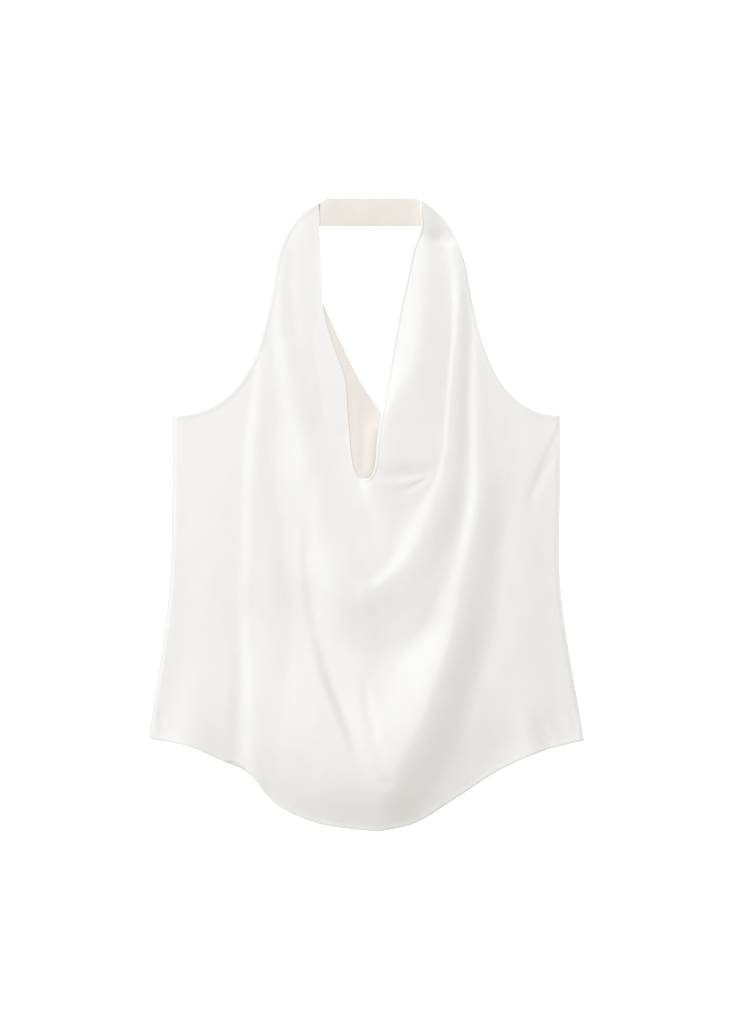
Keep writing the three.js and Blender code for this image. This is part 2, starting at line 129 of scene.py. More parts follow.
# Folds of the front. Each row is one place along a fold: x, y, lift of the cloth, reach of its slope
# on the inner side, reach on the outer side, and how far the crest leans inwards. inner says which side
# that is as one runs along the fold, 1 for the left and -1 for the right. crisp gives the inner and the
# outer slope, from 1 for sharp at the crest to -1 for a broad flat top. rounding is the radius of the
# crest, and spread is how much the whole is softened. A valley takes its lift away.
folds = {
    "cowlPool": {
        "inner": 1, "crisp": (-0.7, -0.45), "rounding": 4, "spread": 3,
        "rows": [
            (-96, 190, 0.4, 26, 26, 0), (-90, 140, 1.0, 36, 34, 0), (-80, 85, 2.0, 46, 40, 0),
            (-68, 35, 3.8, 84, 44, 0), (-50, -14, 5.2, 118, 50, 0), (-28, -52, 6.1, 126, 66, 0),
            (-4, -80, 7.3, 128, 90, 0), (16, -84, 7.7, 128, 88, 0), (42, -66, 7.5, 124, 68, 0),
            (66, -28, 7.1, 120, 46, 0), (82, 10, 7.0, 124, 36, 0), (93, 48, 6.8, 130, 29, 0),
            (100, 90, 6.6, 120, 24, 0), (103, 130, 6.0, 110, 21, 0), (107, 180, 4.6, 100, 18, 0),
            (112, 228, 3.3, 80, 16, 0), (114, 270, 1.6, 60, 14, 0), (113, 305, 0.5, 50, 12, 0),
        ],
    },
    "upperSwag": {
        "inner": 1, "crisp": (0.2, 0.5), "rounding": 1.1, "spread": 1.0,
        "rows": [
            (-101, 332, 0.3, 10, 12, 0), (-106, 285, 1.0, 14, 12, 0), (-105, 232, 1.6, 20, 14, 0),
            (-98, 180, 1.8, 24, 16, 0), (-88, 130, 2.0, 26, 20, 0), (-78, 80, 1.8, 26, 24, 0),
            (-67, 40, 1.6, 26, 26, 0), (-53, 0, 1.6, 26, 28, 0), (-35, -30, 1.4, 24, 30, 0),
            (-18, -60, 1.0, 18, 36, 0), (-6, -82, 1.0, 12, 44, 1), (6, -91, 1.9, 12, 48, 2),
            (19, -88, 2.3, 14, 44, 2), (33, -78, 2.4, 17, 38, 2), (49, -62, 2.4, 21, 34, 2),
            (67, -32, 2.2, 22, 30, 2), (81, 4, 1.8, 19, 27, 2), (93, 38, 1.2, 10, 24, 2),
            (101, 76, 1.1, 6.5, 18, 2), (104, 128, 1.15, 6, 13, 1.5), (108, 178, 1.2, 6, 12, 1),
            (113, 228, 1.2, 6.5, 11, 1), (116, 278, 1.7, 11, 12, 0.5), (111, 320, 1.1, 11, 12, 0),
            (104, 342, 0.4, 9, 9, 0),
        ],
    },
    "mainRidge": {
        "inner": -1, "crisp": (0.5, 0.25), "rounding": 1.5, "spread": 1.3,
        "rows": [
            (134, 240, 0.2, 6, 9, 0), (136, 185, 0.8, 6.5, 13, 0), (137, 130, 1.2, 7, 18, 0),
            (137, 80, 1.4, 8, 22, 0), (138, 42, 2.1, 9, 27, 0), (135, 5, 2.8, 11, 32, 0),
            (129, -32, 2.8, 13, 38, 0), (121, -69, 3.4, 18, 44, 0), (113, -107, 5.0, 25, 50, 0),
            (105, -144, 7.0, 32, 52, 0), (94, -181, 8.6, 45, 52, 0), (81, -218, 9.8, 58, 55, 0),
            (68, -255, 9.0, 54, 58, 0), (52, -287, 7.0, 44, 58, 0), (38, -314, 4.8, 40, 56, 0),
            (28, -340, 3.0, 36, 52, 0), (20, -366, 1.8, 30, 46, 0), (15, -394, 0.8, 24, 40, 0),
        ],
    },
    "mainLoft": {
        "inner": -1, "crisp": (-0.6, -0.1), "rounding": 3, "spread": 2.5,
        "rows": [
            (134, 230, 0.5, 24, 20, 0), (136, 185, 1.7, 30, 34, 0), (137, 130, 3.0, 34, 50, 0),
            (137, 80, 3.6, 32, 54, 0), (138, 42, 3.8, 38, 50, 0), (135, 5, 4.3, 62, 44, 0),
            (129, -32, 4.4, 86, 42, 0), (121, -69, 5.2, 92, 46, 0), (113, -107, 5.0, 84, 51, 0),
            (105, -144, 4.0, 72, 55, 0), (94, -181, 2.6, 62, 56, 0), (81, -218, 2.0, 66, 58, 0),
            (68, -255, 2.0, 70, 60, 0), (52, -287, 2.0, 70, 60, 0), (38, -314, 1.8, 66, 58, 0),
            (28, -340, 1.5, 60, 54, 0), (20, -366, 1.1, 50, 46, 0), (15, -394, 0.6, 40, 40, 0),
        ],
    },
    "lowerSwag": {
        "inner": 1, "crisp": (0.2, 0.0), "rounding": 1.5, "spread": 1.5,
        "rows": [
            (-60, 10, 0.2, 12, 9, 0), (-57, -28, 0.9, 24, 12, 0), (-51, -68, 2.7, 46, 20, 0),
            (-43, -98, 4.8, 48, 24, 0), (-34, -131, 5.4, 54, 40, 0), (-18, -168, 4.2, 46, 48, 0),
            (-9, -187, 3.4, 32, 46, 0), (-6, -199, 2.6, 36, 44, 0), (-4, -215, 2.0, 54, 40, 0),
            (0, -240, 1.8, 60, 40, 0), (6, -270, 1.4, 60, 38, 0), (12, -300, 0.9, 50, 34, 0),
            (18, -325, 0.4, 40, 28, 0),
        ],
    },
    "thirdCrease": {
        "inner": 1, "valley": True, "crisp": (0.3, 0.1), "rounding": 0.8, "spread": 0.9,
        "rows": [
            (-75, -10, 0.2, 10, 6, 0), (-74.5, -40, 0.8, 14, 7, 0), (-74, -64, 1.1, 18, 8, 0),
            (-69, -94, 2.0, 36, 12, 0), (-60, -131, 3.2, 56, 15, 0), (-51.5, -169, 4.2, 76, 16, 0),
            (-42, -206, 4.8, 76, 14, 0), (-29, -243, 5.0, 60, 11, 0), (-18.5, -274, 3.0, 38, 9, 0),
            (-10, -304, 0.6, 18, 8, 0),
        ],
    },
    "centreCrease": {
        "inner": 1, "valley": True, "crisp": (0.2, 0.1), "rounding": 1, "spread": 1.4,
        "rows": [
            (-2, -204, 0.3, 6, 6, 0), (1, -232, 1.4, 9, 9, 0), (5, -252, 1.5, 10, 9, 0),
            (12, -282, 1.1, 9, 8, 0), (23, -311, 0.8, 9, 8, 0), (28, -332, 0.3, 8, 8, 0),
        ],
    },
    "bottomPucker": {
        "inner": 1, "valley": True, "crisp": (0.2, 0.2), "rounding": 1, "spread": 1.4,
        "rows": [
            (12, -326, 0.3, 6, 6, 0), (24, -331, 1.2, 8, 9, 0), (36, -328, 0.4, 6, 6, 0),
        ],
    },
    "belly": {
        "inner": 1, "crisp": (-0.3, -0.5), "rounding": 5, "spread": 3.5,
        "rows": [
            (-150, -246, 1.0, 90, 46, 0), (-112, -268, 4.0, 140, 58, 0), (-72, -292, 9.4, 180, 78, 0),
            (-30, -311, 16.2, 200, 73, 0), (2, -320, 17.2, 200, 70, 0), (30, -325, 12.4, 150, 66, 0),
            (56, -320, 4.2, 70, 56, 0), (78, -312, 0.8, 40, 46, 0),
        ],
    },
    "leftDrape": {
        "inner": 1, "crisp": (0.2, 0.3), "rounding": 1.5, "spread": 1.5,
        "rows": [
            (-129, 215, 0.4, 10, 8, 0), (-131, 165, 1.4, 22, 10, 0), (-134, 128, 2.0, 28, 12, 0),
            (-139, 80, 2.2, 32, 13, 0), (-140, 30, 2.2, 34, 13, 0), (-142, -20, 2.0, 40, 12, 0),
            (-144, -60, 1.8, 54, 12, 0), (-145, -110, 1.5, 60, 12, 0), (-144, -165, 1.6, 60, 12, 0),
            (-140, -206, 1.7, 46, 12, 0), (-137.5, -250, 1.5, 34, 12, 0), (-134, -300, 1.0, 26, 12, 0),
            (-130, -330, 0.5, 20, 12, 0),
        ],
    },
    "leftShoulder": {
        "inner": 1, "crisp": (0.0, 0.0), "rounding": 2, "spread": 2.5,
        "rows": [
            (-120, -20, 0.1, 20, 22, 0), (-119, -60, 0.9, 22, 24, 0), (-118, -110, 1.2, 24, 26, 0),
            (-118, -160, 1.1, 24, 26, 0), (-119, -210, 0.6, 22, 24, 0), (-120, -250, 0.1, 20, 20, 0),
        ],
    },
    "leftTrough": {
        "inner": 1, "valley": True, "crisp": (0.1, 0.1), "rounding": 3, "spread": 2,
        "rows": [
            (-157, -110, 0.3, 10, 10, 0), (-156, -165, 1.0, 10, 12, 0), (-155, -215, 1.8, 10, 14, 0),
            (-156, -262, 2.2, 10, 16, 0), (-156, -296, 2.0, 10, 16, 0), (-154, -316, 1.5, 10, 14, 0),
        ],
    },
    "sideDrape": {
        "inner": 1, "crisp": (0.0, 0.0), "rounding": 4, "spread": 4,
        "rows": [
            (-204, 60, 0.2, 24, 24, 0), (-200, -20, 0.5, 26, 26, 0), (-196, -110, 0.5, 28, 28, 0),
            (-200, -180, 1.0, 34, 28, 0), (-212, -235, 2.4, 46, 32, 0), (-221, -290, 4.6, 54, 34, 0),
        ],
    },
    "rightDrape": {
        "inner": -1, "crisp": (0.0, 0.0), "rounding": 4, "spread": 4,
        "rows": [
            (200, 40, 0.2, 24, 24, 0), (194, -20, 0.5, 26, 28, 0), (194, -90, 0.5, 28, 30, 0),
            (200, -150, 0.5, 28, 30, 0), (206, -205, 0.9, 28, 28, 0), (211, -245, 1.7, 30, 24, 0),
            (211, -290, 2.6, 30, 24, 0),
        ],
    },
    "rightHemLip": {
        "inner": -1, "crisp": (0.0, 0.0), "rounding": 2, "spread": 2,
        "rows": [(262, -225, 0.2, 24, 10, 0), (268, -250, 1.0, 28, 10, 0), (276, -280, 2.0, 34, 10, 0)],
    },
    "underarmCrease": {
        "inner": -1, "valley": True, "crisp": (0.3, 0.3), "rounding": 1, "spread": 1.2,
        "rows": [
            (242, 104, 0.8, 6, 10, 0), (233, 86, 1.6, 7, 11, 0), (220, 58, 1.3, 7, 10, 0),
            (209, 34, 1.1, 7, 11, 0), (200, 10, 0.4, 7, 12, 0),
        ],
    },
    "strapRoll": {
        "inner": -1, "crisp": (0.1, 0.5), "rounding": 2, "spread": 2.5,
        "rows": [
            (76, 345, 0.6, 14, 14, 0), (72, 315, 2.6, 28, 28, 0), (68, 278, 5.4, 46, 37, 0),
            (66, 228, 6.2, 60, 43, 0), (56, 180, 6.8, 60, 56, 0), (34, 142, 8.2, 30, 78, 0),
            (20, 116, 9.2, 10, 88, 0), (15, 92, 9.4, 8, 92, 0), (12.5, 68, 8.6, 8, 94, 0),
            (9.5, 54, 6.4, 8, 90, 0), (8, 43, 2.4, 8, 86, 0), (8, 34, 0.3, 8, 80, 0),
        ],
    },
    "strapTopRight": {
        "inner": -1, "crisp": (-0.3, 0.1), "rounding": 2, "spread": 2.5,
        "rows": [
            (62, 404, 6.6, 12, 27, 0), (66, 384, 6.6, 12, 28, 0), (69, 366, 5.6, 12, 30, 0),
            (73, 350, 2.2, 14, 28, 0), (76, 338, 0.3, 14, 24, 0),
        ],
    },
    "shoulderCrease": {
        "inner": 1, "valley": True, "crisp": (0.2, 0.2), "rounding": 1, "spread": 1.6,
        "rows": [
            (70, 344, 0.2, 10, 6, 0), (84, 341, 1.0, 14, 8, 0), (98, 341, 1.6, 16, 8, 0),
            (112, 343, 1.6, 16, 8, 0), (124, 348, 1.0, 14, 8, 0),
        ],
    },
    "strapTopLeft": {
        "inner": 1, "crisp": (-0.3, 0.0), "rounding": 2, "spread": 3,
        "rows": [
            (-72, 402, 0.8, 16, 36, 0), (-76, 372, 1.0, 18, 34, 0), (-80, 345, 0.8, 18, 30, 0),
            (-84, 320, 0.3, 16, 24, 0),
        ],
    },
    "neckStand": {
        "inner": 1, "crisp": (0.0, 0.3), "rounding": 0.5, "spread": 0.6,
        "rows": [
            (-54, 330, 0.2, 6, 7, 0), (-53, 285, 0.4, 6, 8, 0), (-51, 240, 0.6, 6, 8, 0),
            (-40, 203, 0.9, 6, 8, 0), (-30, 174, 0.9, 6, 8, 0), (-26, 140, 0.8, 6, 7, 0),
            (-23, 108, 0.6, 6, 7, 0), (-17, 74, 0.2, 6, 6, 0),
        ],
    },
    "neckSink": {
        "inner": 1, "valley": True, "crisp": (-0.3, 0.0), "rounding": 3, "spread": 2,
        "rows": [
            (-56, 285, 0.2, 22, 26, 0), (-54, 250, 0.8, 22, 30, 0), (-46, 205, 1.5, 24, 34, 0),
            (-36, 170, 1.7, 24, 34, 0), (-36, 130, 1.7, 22, 34, 0), (-31, 95, 1.5, 20, 34, 0),
            (-26, 68, 1.7, 20, 34, 0), (-15, 42, 1.2, 20, 30, 0), (-4, 28, 0.2, 16, 26, 0),
        ],
    },
    "rightHemRise": {
        "inner": 1, "crisp": (0.2, 0.0), "rounding": 3, "spread": 3,
        "rows": [
            (46, -398, 0.3, 26, 20, 0), (84, -384, 1.4, 34, 20, 0), (122, -360, 2.6, 44, 20, 0),
            (162, -334, 2.8, 46, 20, 0), (200, -312, 1.8, 38, 20, 0), (232, -300, 0.4, 26, 20, 0),
        ],
    },
    "cowlBreak": {
        "inner": 1, "valley": True, "crisp": (0.1, 0.1), "rounding": 1, "spread": 1.2,
        "rows": [
            (10, 48, 0.3, 12, 8, 0), (30, 48, 0.9, 16, 9, 0), (50, 49, 1.3, 18, 9, 0),
            (70, 51, 1.0, 16, 9, 0), (84, 55, 0.3, 12, 8, 0),
        ],
    },
    "cowlCrease": {
        "inner": 1, "valley": True, "crisp": (0.3, 0.3), "rounding": 0.6, "spread": 0.3,
        "rows": [
            (40, 30, 0.3, 4, 4, 0), (52, 33, 1.0, 4, 5, 0), (64, 38, 1.3, 4, 5, 0),
            (76, 45, 0.4, 4, 5, 0),
        ],
    },
    "swagCurl": {
        "inner": 1, "crisp": (0.2, 0.2), "rounding": 0.6, "spread": 1.0,
        "rows": [
            (-10, -90, 0.2, 5, 5, 0), (-5, -103, 0.9, 6, 6, 0), (2, -114, 0.8, 6, 6, 0),
            (10, -119, 0.2, 5, 5, 0),
        ],
    },
    "hemWave": {
        "inner": 1, "crisp": (0.0, 0.0), "rounding": 2, "spread": 2,
        "rows": [
            (-158, -278, 0.5, 16, 16, 0), (-146, -306, 1.6, 18, 16, 0), (-134, -334, 1.4, 16, 14, 0),
        ],
    },
    "rightHemDip": {
        "inner": 1, "valley": True, "crisp": (0.0, 0.0), "rounding": 1, "spread": 1.5,
        "rows": [
            (210, -248, 0.5, 12, 16, 0), (220, -272, 2.3, 13, 19, 0), (226, -294, 2.2, 13, 19, 0),
        ],
    },
    "leftSidePucker": {
        "inner": 1, "valley": True, "crisp": (0.2, 0.2), "rounding": 0.6, "spread": 0.6,
        "rows": [(-256, -232, 0.3, 5, 5, 0), (-256, -250, 1.0, 6, 6, 0), (-250, -268, 0.3, 5, 5, 0)],
    },
    "rightSidePucker": {
        "inner": 1, "valley": True, "crisp": (0.2, 0.2), "rounding": 0.6, "spread": 0.6,
        "rows": [(252, -240, 0.3, 5, 5, 0), (259, -258, 1.0, 6, 6, 0), (260, -274, 0.3, 5, 5, 0)],
    },
}


def slide(points):
    # distance run along a line of points, from its start
    steps = np.linalg.norm(np.diff(points, axis=0), axis=1)
    return np.concatenate(([0.0], np.cumsum(steps)))


def curveThrough(places, steps=24):
    # centripetal Catmull-Rom curve through the places
    p = np.array(places, float)
    p = np.vstack((2 * p[0] - p[1], p, 2 * p[-1] - p[-2]))
    line = []
    for i in range(1, len(p) - 2):
        k = [0.0]
        for a, b in zip(p[i - 1:i + 2], p[i:i + 3]):
            k.append(k[-1] + max(np.linalg.norm((b - a)[:2]), 1e-6) ** 0.5)
        for t in np.linspace(k[1], k[2], steps, endpoint=False):
            a1 = (k[1] - t) / (k[1] - k[0]) * p[i - 1] + (t - k[0]) / (k[1] - k[0]) * p[i]
            a2 = (k[2] - t) / (k[2] - k[1]) * p[i] + (t - k[1]) / (k[2] - k[1]) * p[i + 1]
            a3 = (k[3] - t) / (k[3] - k[2]) * p[i + 1] + (t - k[2]) / (k[3] - k[2]) * p[i + 2]
            b1 = (k[2] - t) / (k[2] - k[0]) * a1 + (t - k[0]) / (k[2] - k[0]) * a2
            b2 = (k[3] - t) / (k[3] - k[1]) * a2 + (t - k[1]) / (k[3] - k[1]) * a3
            line.append((k[2] - t) / (k[2] - k[1]) * b1 + (t - k[1]) / (k[2] - k[1]) * b2)
    line.append(p[-2])
    return np.array(line)


def curveOfArcs(arcs, steps):
    line = []
    for a, h1, h2, b in arcs:
        part = interpolate_bezier(*(Vector(q + (0,)) for q in (a, h1, h2, b)), steps)
        line += [(q.x, q.y) for q in part][1 if line else 0:]
    return np.array(line)


def pointsAt(line, shares):
    run = slide(line)
    return np.stack([np.interp(shares * run[-1], run, line[:, i]) for i in (0, 1)], axis=-1)


def pairAt(first, second, joint, shares):
    # two lines that follow each other and meet at share joint
    upper = pointsAt(first, np.clip(shares / joint, 0, 1))
    lower = pointsAt(second, np.clip((shares - joint) / (1 - joint), 0, 1))
    return np.where((shares <= joint)[:, None], upper, lower)


def ease(t):
    t = np.clip(t, 0, 1)
    return t * t * (3 - 2 * t)


def slope(t, crisp):
    # share of the height at share t of the way down a slope
    t = np.clip(t, 0, 1)
    soft = ease(1 - t)
    sharp, flat = (1 - t) ** 1.7, (1 - t ** 3) ** 2
    other = sharp if crisp > 0 else flat
    return soft + (other - soft) * abs(crisp)


# The folds are worked out on an even net of places, softened there, and read off smoothly between them
net = {
    "cell": 2.0,
    "low": (-292.0, -418.0),  # its lower left corner
    "across": 292,           # cells each way
    "up": 418,
    "foldSteps": 6,          # steps between two rows of a fold
    "margin": 6,             # how far past its reach a fold is looked for
}


def foldShape(fold, x, y):
    # what one fold adds at many places: its lift, and how far it moves the cloth sideways
    line = curveThrough(fold["rows"], net["foldSteps"])
    widest = line[:, 3:5].max() + net["margin"]
    lift, moveX, moveY = (np.zeros(x.size) for _ in range(3))
    inside = np.flatnonzero(
        (x > line[:, 0].min() - widest) & (x < line[:, 0].max() + widest)
        & (y > line[:, 1].min() - widest) & (y < line[:, 1].max() + widest))
    px, py = x.flat[inside], y.flat[inside]
    top, shiftX, shiftY = (np.zeros(px.shape) for _ in range(3))
    for p, q in zip(line[:-1], line[1:]):
        way = (q - p)[:2]
        length = math.hypot(*way)
        way = way / length
        rx, ry = px - p[0], py - p[1]
        along = np.clip((rx * way[0] + ry * way[1]) / length, 0, 1)
        offX, offY = rx - along * length * way[0], ry - along * length * way[1]
        away = np.hypot(offX, offY)
        side = (way[0] * offY - way[1] * offX) / np.maximum(away, 1e-6) * fold["inner"]
        innerShare = ease(0.5 + 0.5 * side)
        height, inner, outer, lean = ((p[i] + (q[i] - p[i]) * along) for i in (2, 3, 4, 5))
        t = (np.hypot(away, fold["rounding"]) - fold["rounding"]) / (outer + (inner - outer) * innerShare)
        innerCrisp, outerCrisp = fold["crisp"]
        share = slope(t, innerCrisp) * innerShare + slope(t, outerCrisp) * (1 - innerShare)
        taller = height * share > top
        top = np.where(taller, height * share, top)
        shiftX = np.where(taller, -way[1] * fold["inner"] * lean * share, shiftX)
        shiftY = np.where(taller, way[0] * fold["inner"] * lean * share, shiftY)
    lift[inside] = -top if fold.get("valley") else top
    moveX[inside], moveY[inside] = shiftX, shiftY
    return [part.reshape(x.shape) for part in (lift, moveX, moveY)]


def netPlaces():
    across = net["low"][0] + net["cell"] * np.arange(net["across"] + 1)
    up = net["low"][1] + net["cell"] * np.arange(net["up"] + 1)
    return np.meshgrid(across, up)


def softened(field, spread):
    # gaussian blur over the net
    reach = math.ceil(2.5 * spread / net["cell"])
    weights = np.exp(-0.5 * (np.arange(-reach, reach + 1) * net["cell"] / spread) ** 2)
    weights /= weights.sum()
    for axis in (0, 1):
        edge = [(reach, reach) if axis == i else (0, 0) for i in (0, 1)]
        wide = np.pad(field, edge, mode="edge")
        count = field.shape[axis]
        field = sum(w * np.take(wide, range(k, k + count), axis=axis) for k, w in enumerate(weights))
    return field


def readNet(field, x, y):
    # cubic B-spline through the net
    fx, fy = (x - net["low"][0]) / net["cell"], (y - net["low"][1]) / net["cell"]
    ix, iy = np.floor(fx).astype(int), np.floor(fy).astype(int)
    weights = []
    for t in (fx - ix, fy - iy):
        weights.append(((1 - t) ** 3 / 6, (3 * t ** 3 - 6 * t ** 2 + 4) / 6,
                        (-3 * t ** 3 + 3 * t ** 2 + 3 * t + 1) / 6, t ** 3 / 6))
    total = np.zeros(x.shape)
    for i in range(4):
        for j in range(4):
            column = np.clip(ix + i - 1, 0, net["across"])
            row = np.clip(iy + j - 1, 0, net["up"])
            total += weights[0][i] * weights[1][j] * field[row, column]
    return total


def noiseOver(x, y, layer):
    values = [noise.noise(Vector((a, b, layer))) for a, b in zip(x.flat, y.flat)]
    return np.array(values).reshape(x.shape)


def unevenness(x, y):
    # slight unevenness left in cloth smoothed out by hand, longer along the drape than across it
    across, along = x / front["unevenWidth"], y / front["unevenLength"]
    broad = noiseOver(across, along, front["broadLayer"])
    fine = noiseOver(across * front["fineAcross"], along * front["fineAlong"], front["fineLayer"])
    return front["unevenness"] * (broad + front["fineHeight"] * fine)


def loft(x, y):
    # the two layers stand a little apart away from the side seams and the hem
    side = ease((front["halfWidth"] - abs(x)) / front["loftReach"])
    hem = ease((y - front["loftHem"]) / front["loftReach"])
    shoulder = ease((front["loftShoulder"] - y) / front["loftReach"])
    return front["loft"] * side * hem * shoulder


def layFolds(table):
    x, y = netPlaces()
    nets = [unevenness(x, y) + loft(x, y), np.zeros(x.shape), np.zeros(x.shape)]
    for fold in table.values():
        parts = foldShape(fold, x, y)
        nets = [whole + softened(part, fold["spread"]) for whole, part in zip(nets, parts)]
    return nets


foldNets = layFolds(folds)
print("folds laid:", len(folds))


def columnShares(width, sheet):
    # shares across a row: finer and finer steps in a zone along both ends, even steps between. In a
    # narrow row the zones are narrower too.
    widestShare = 0.22
    zone = min(sheet["edgeZone"], width * widestShare)
    zoneColumns = sheet["edgeColumns"]
    middle = sheet["columns"] - 2 * zoneColumns
    steps = zone * np.linspace(0, 1, zoneColumns + 1) ** sheet["edgeCrowding"]
    at = np.concatenate((
        steps[:-1],
        np.linspace(zone, width - zone, middle, endpoint=False),
        width - steps[::-1],
    ))
    return at / width


def rowShares(sheet):
    # shares down a panel, fine under the bottom of the neckline and along the hem
    neck, fine, zone = sheet["neckShare"], sheet["fineRows"], sheet["fineShare"]
    neckRow = round(sheet["rows"] * neck)
    steps = zone * np.linspace(0, 1, fine + 1) ** sheet["edgeCrowding"]
    shares = np.concatenate((
        np.linspace(0, neck, neckRow, endpoint=False),
        neck + steps[:-1],
        np.linspace(neck + zone, 1 - zone, sheet["rows"] - neckRow - 2 * fine, endpoint=False),
        1 - steps[::-1],
    ))
    return shares, neckRow


def halfPanel(sheet, armhole, side, neckline, hem):
    # places of one half, rows from the strap down and columns from the armhole in
    shares, neck = rowShares(sheet)
    outer = pairAt(armhole, side, sheet["underarmShare"], shares)
    middle = np.array([neckline[-1], hem[-1]], float)
    inner = pairAt(neckline, middle, shares[neck], shares)
    rows = []
    for v, a, b in zip(shares, outer, inner):
        u = columnShares(np.linalg.norm(b - a), sheet)
        bow = pointsAt(hem, u) - (hem[0] + (hem[-1] - hem[0]) * u[:, None])
        bent = ease((v - sheet["underarmShare"]) / (1 - sheet["underarmShare"]))
        rows.append(a + (b - a) * u[:, None] + bow * bent)
    return np.array(rows), neck


def layPanel(sheet, left, right):
    # a net of quads over both halves, open along the neckline
    halfLeft, neck = halfPanel(sheet, *left)
    halfRight, _ = halfPanel(sheet, *right)
    rows, columns = sheet["rows"], sheet["columns"]
    bm = bmesh.new()
    bmesh.ops.create_grid(bm, x_segments=2 * columns, y_segments=rows, size=0.5)
    columnOf = bm.verts.layers.int.new("column")
    rowOf = bm.verts.layers.int.new("row")
    for v in bm.verts:
        v[columnOf] = round((v.co.x + 0.5) * 2 * columns)
        v[rowOf] = round((0.5 - v.co.y) * rows)
    openEdges = [e for e in bm.edges if all(v[columnOf] == columns for v in e.verts)
                 and min(v[rowOf] for v in e.verts) < neck]
    bmesh.ops.split_edges(bm, edges=openEdges)
    for v in bm.verts:
        onRight = all(f.calc_center_median().x > 0 for f in v.link_faces)
        if v[columnOf] > columns or (v[columnOf] == columns and onRight):
            v[columnOf] += 1
    column = np.array([v[columnOf] for v in bm.verts])
    row = np.array([v[rowOf] for v in bm.verts])
    places = np.concatenate((halfLeft, halfRight[:, ::-1]), axis=1)
    return bm, column, row, places[row, column], neck


def distanceTo(line, at, chosen):
    # how far the chosen places are from a line, with the rest set far away
    farAway = 1e3
    best = np.full(len(at), farAway)
    x, y = at[chosen].T
    near = np.full(x.shape, farAway)
    for p, q in zip(line[:-1], line[1:]):
        way = q - p
        along = np.clip(((x - p[0]) * way[0] + (y - p[1]) * way[1]) / max(way @ way, 1e-9), 0, 1)
        near = np.minimum(near, np.hypot(x - p[0] - along * way[0], y - p[1] - along * way[1]))
    best[chosen] = near
    return best


def newPiece(name, bm, *materials):
    # normals out, or up on an open sheet
    bmesh.ops.recalc_face_normals(bm, faces=bm.faces)
    openSheet = any(e.is_boundary for e in bm.edges)
    if openSheet and sum(f.normal.z for f in bm.faces) < 0:
        bmesh.ops.reverse_faces(bm, faces=bm.faces)
    mesh = bpy.data.meshes.new(name)
    bm.to_mesh(mesh)
    bm.free()
    for material in materials:
        mesh.materials.append(material)
    mesh.shade_smooth()
    piece = bpy.data.objects.new(name, mesh)
    bpy.context.scene.collection.objects.link(piece)
    return piece


def addWall(piece, thickness, lining=0):
    # the sheet is the lower face, which can take the piece's second material
    wall = piece.modifiers.new("wall", "SOLIDIFY")
    wall.thickness = thickness
    wall.offset = 1.0
    wall.material_offset = lining


def placeVerts(bm, at, z):
    for v, (a, b), c in zip(bm.verts, at, z):
        v.co = Vector((a * mm + patternShift.x, b * mm + patternShift.y, c * mm))


def mapCloth(bm):
    # the cloth's own coordinates, in metres as it was cut
    uv = bm.loops.layers.uv.new("cloth")
    for face in bm.faces:
        for loop in face.loops:
            loop[uv].uv = (loop.vert.co.x, loop.vert.co.y)


# How the edges of the cloth are finished: a narrow turned hem, a rolled neckline and pressed side seams
edgeFinish = {
    "hemWidth": 5.5,
    "hemLift": 0.35,
    "hemStep": 1.5,          # width of the step down at the inside of the hem
    "stitchDepth": 0.12,
    "stitchWidth": 0.8,
    "stitchInset": 4.6,
    "edgeDrop": 0.5,
    "edgeRound": 1.6,
    "rollWidth": 2.6,
    "rollLift": 0.8,
    "rollStart": -14,        # the neckline lies flat to the left of here
    "rollGrowth": 24,        # and is fully rolled this much further right
    "seamDrop": 1.2,
    "seamRound": 6.0,
    "tipRows": 24,           # rows of the straps' tips, where every edge is near
    "rimColumns": 6,         # columns and rows looked at beyond the fine ones
    "rimRows": 4,
    "sideRows": 6,
}


def hemProfile(d, depth=1.0):
    # lift of a turned hem at distance d from its edge
    e = edgeFinish
    body = e["hemLift"] * ease((e["hemWidth"] + e["hemStep"] / 2 - d) / e["hemStep"])
    groove = -e["stitchDepth"] * np.exp(-((d - e["stitchInset"]) / e["stitchWidth"]) ** 2)
    return body + groove - depth * e["edgeDrop"] * (1 - ease(d / e["edgeRound"]))


def rollProfile(d):
    # lift of the rolled neckline
    e = edgeFinish
    return e["rollLift"] * np.sqrt(np.clip(1 - (d / e["rollWidth"] * 2 - 1) ** 2, 0, 1))


frontLines = {}
for hand in ("left", "right"):
    for edge, steps in front["arcSteps"].items():
        frontLines[hand + edge] = curveOfArcs(frontOutline[hand + edge], steps)
    for edge in ("Neckline", "Hem"):
        frontLines[hand + edge] = curveThrough(frontOutline[hand + edge], front["edgeSteps"])


